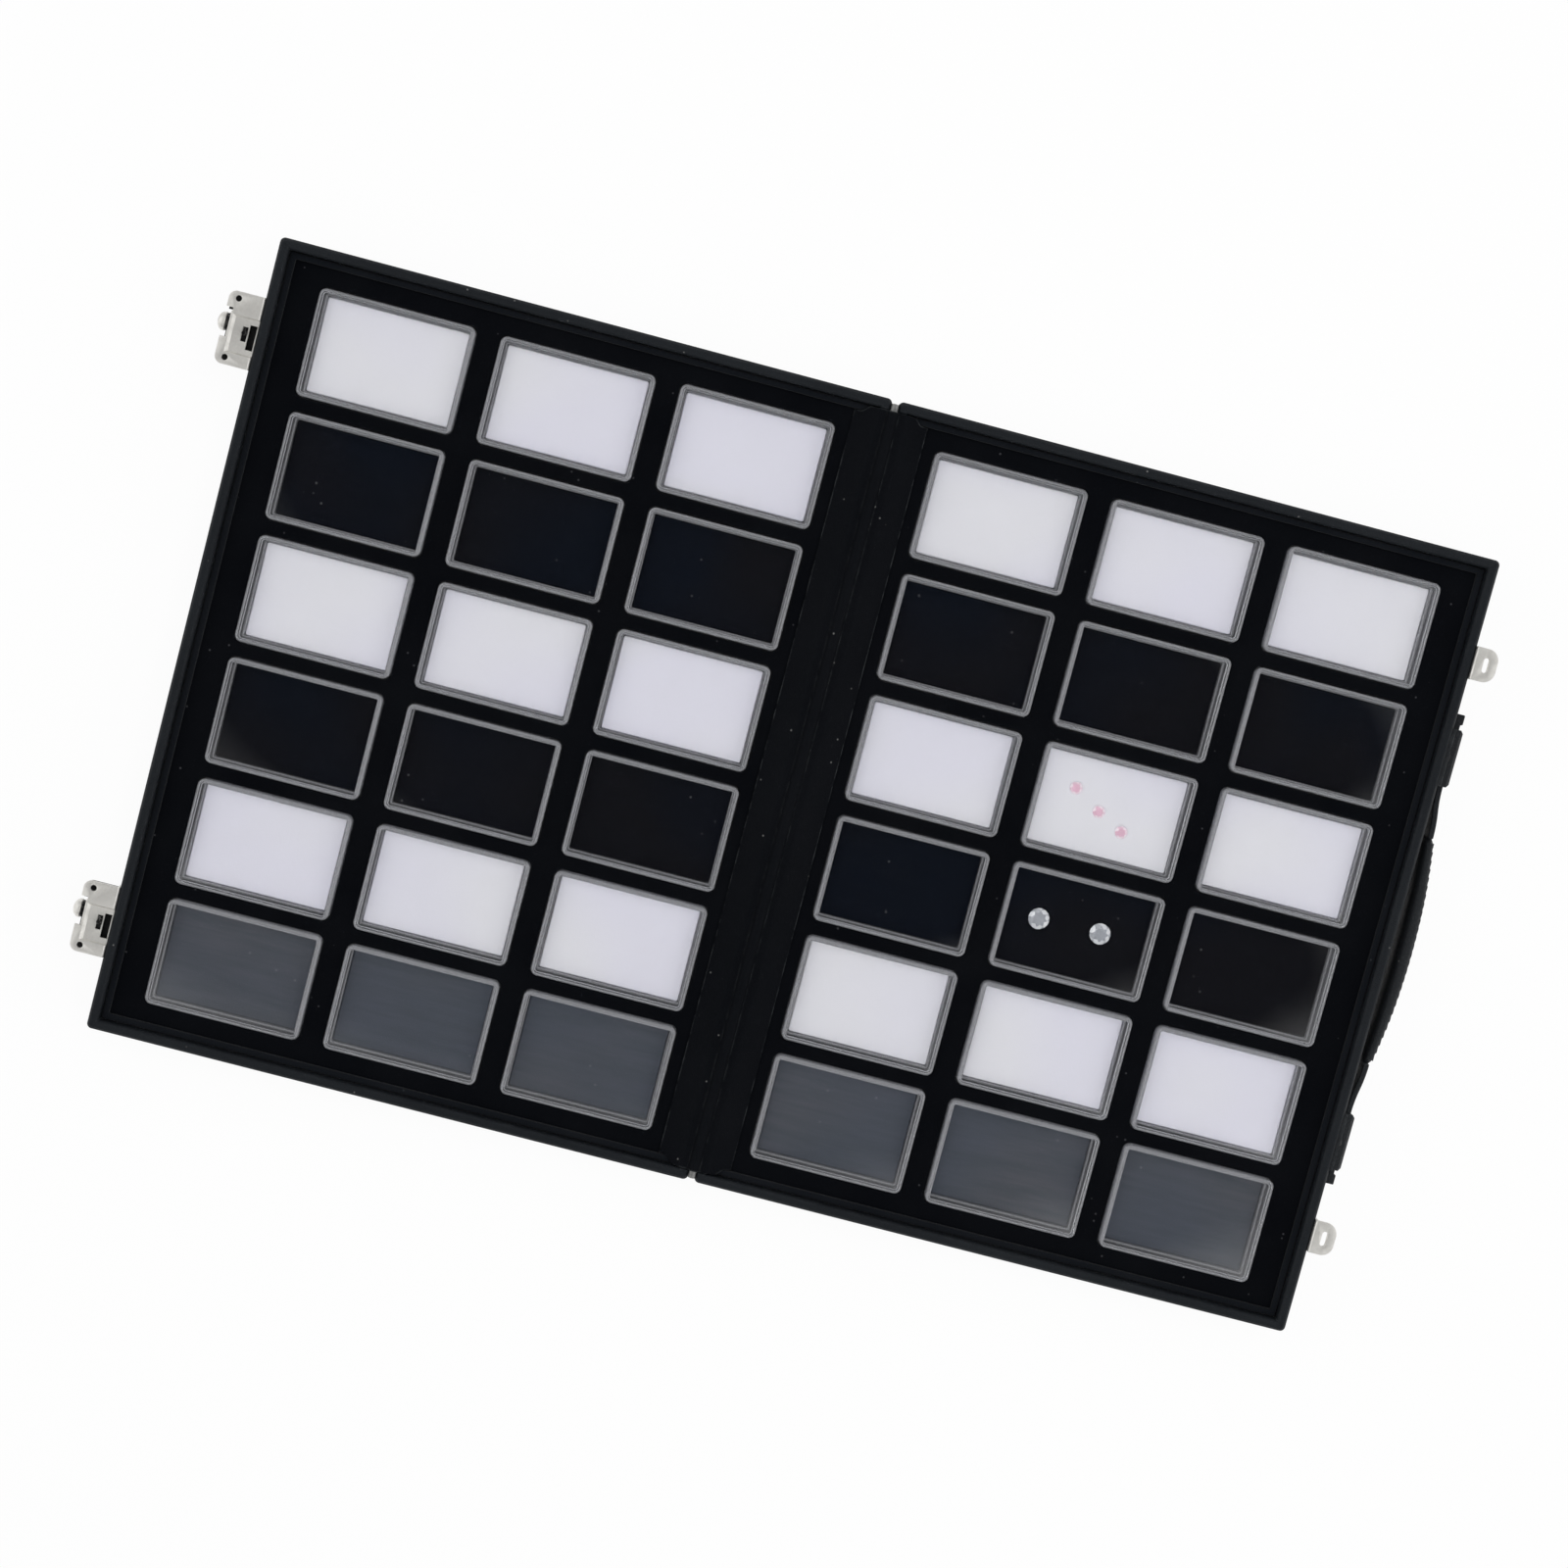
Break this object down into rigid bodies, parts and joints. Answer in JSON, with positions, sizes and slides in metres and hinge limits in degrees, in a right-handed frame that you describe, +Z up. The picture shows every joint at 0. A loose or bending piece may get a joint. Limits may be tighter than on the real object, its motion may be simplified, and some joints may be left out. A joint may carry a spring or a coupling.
{
  "type": "gemstone display case",
  "caption": "Folding leather-covered case that opens flat, with latches, a strap handle and rows of clear lidded boxes for loose stones.",
  "frame": {"origin": "middle of the base's underside", "axes": "+X from the hinge towards the handle, +Y along the hinge, +Z up. The open lid lies towards -X."},
  "size_m": [0.5062, 0.3108, 0.0284],
  "materials": {
    "leatherette": "matte black leather-like paper with a fine grain",
    "velvet": "black flock",
    "acrylic": "polished clear acrylic",
    "white_foam": "soft white foam",
    "black_foam": "soft black foam",
    "grey_foam": "soft grey foam",
    "nickel": "nickel-plated pressed steel",
    "spring_steel": "plain spring steel",
    "strap": "black leather-like strap",
    "pink_stone": "cut and polished",
    "clear_stone": "cut and polished"
  },
  "bodies": {
    "base": {"base_wall_frame": "leatherette", "base_bottom_panel": "leatherette", "base_lining": "velvet", "base_insert": "velvet", "base_hinge_leaf": "nickel", "base_hinge_nails": "nickel", "hinge_pin": "nickel", "spine_strip": "leatherette", "left_catch_tab": "nickel", "right_catch_tab": "nickel", "catch_screws": "nickel", "left_strap_keeper": "strap", "right_strap_keeper": "strap", "keeper_rivets": "nickel", "left_strap_end": "strap", "right_strap_end": "strap", "base_box_bottoms": "acrylic", "base_box_covers": "acrylic", "base_white_pads": "white_foam", "base_black_pads": "black_foam", "base_grey_pads": "grey_foam"},
    "lid": {"lid_wall_frame": "leatherette", "lid_top_panel": "leatherette", "lid_lining": "velvet", "lid_insert": "velvet", "lid_hinge_leaf": "nickel", "lid_hinge_nails": "nickel", "left_latch_plate": "nickel", "right_latch_plate": "nickel", "latch_screws": "nickel", "left_latch_keep": "nickel", "right_latch_keep": "nickel", "left_latch_spring": "spring_steel", "right_latch_spring": "spring_steel", "lid_box_bottoms": "acrylic", "lid_box_covers": "acrylic", "lid_white_pads": "white_foam", "lid_black_pads": "black_foam", "lid_grey_pads": "grey_foam"},
    "left_latch": {"left_latch_slide": "nickel", "left_latch_button": "nickel"},
    "right_latch": {"right_latch_slide": "nickel", "right_latch_button": "nickel"},
    "handle": {"handle_grip": "strap"},
    "pink_gem_box": {"pink_gem_box_bottom": "acrylic", "pink_gem_pad": "white_foam", "pink_gems": "pink_stone"},
    "pink_gem_cover": {"pink_gem_box_cover": "acrylic"},
    "clear_gem_box": {"clear_gem_box_bottom": "acrylic", "clear_gem_pad": "black_foam", "clear_gems": "clear_stone"},
    "clear_gem_cover": {"clear_gem_box_cover": "acrylic"}
  },
  "joints": [
    {"name": "case_fold", "type": "hinge", "parent": "base", "child": "lid", "pos_m": [-0.1206, 0, 0.02615], "axis": [0, 1, 0], "range_deg": [0, 180], "deforming": ["spine_strip"]},
    {"name": "left_latch_release", "type": "slide", "parent": "lid", "child": "left_latch", "axis": [0, -1, 0], "range_m": [0, 0.0022], "stiffness_N_per_m": 300, "springref_m": -0.001, "deforming": ["left_latch_spring"]},
    {"name": "right_latch_release", "type": "slide", "parent": "lid", "child": "right_latch", "axis": [0, -1, 0], "range_m": [0, 0.0022], "stiffness_N_per_m": 300, "springref_m": -0.001, "deforming": ["right_latch_spring"]},
    {"name": "handle_pull", "type": "slide", "parent": "base", "child": "handle", "axis": [1, 0, 0], "range_m": [0, 0.014], "deforming": ["left_strap_end", "right_strap_end"]},
    {"name": "pink_box_lift", "type": "slide", "parent": "base", "child": "pink_gem_box", "axis": [0, 0, -1], "range_m": [-0.025, 0]},
    {"name": "pink_cover_lift", "type": "slide", "parent": "pink_gem_box", "child": "pink_gem_cover", "axis": [0, 0, -1], "range_m": [-0.03, 0]},
    {"name": "clear_box_lift", "type": "slide", "parent": "base", "child": "clear_gem_box", "axis": [0, 0, -1], "range_m": [-0.025, 0]},
    {"name": "clear_cover_lift", "type": "slide", "parent": "clear_gem_box", "child": "clear_gem_cover", "axis": [0, 0, -1], "range_m": [-0.03, 0]}
  ]
}
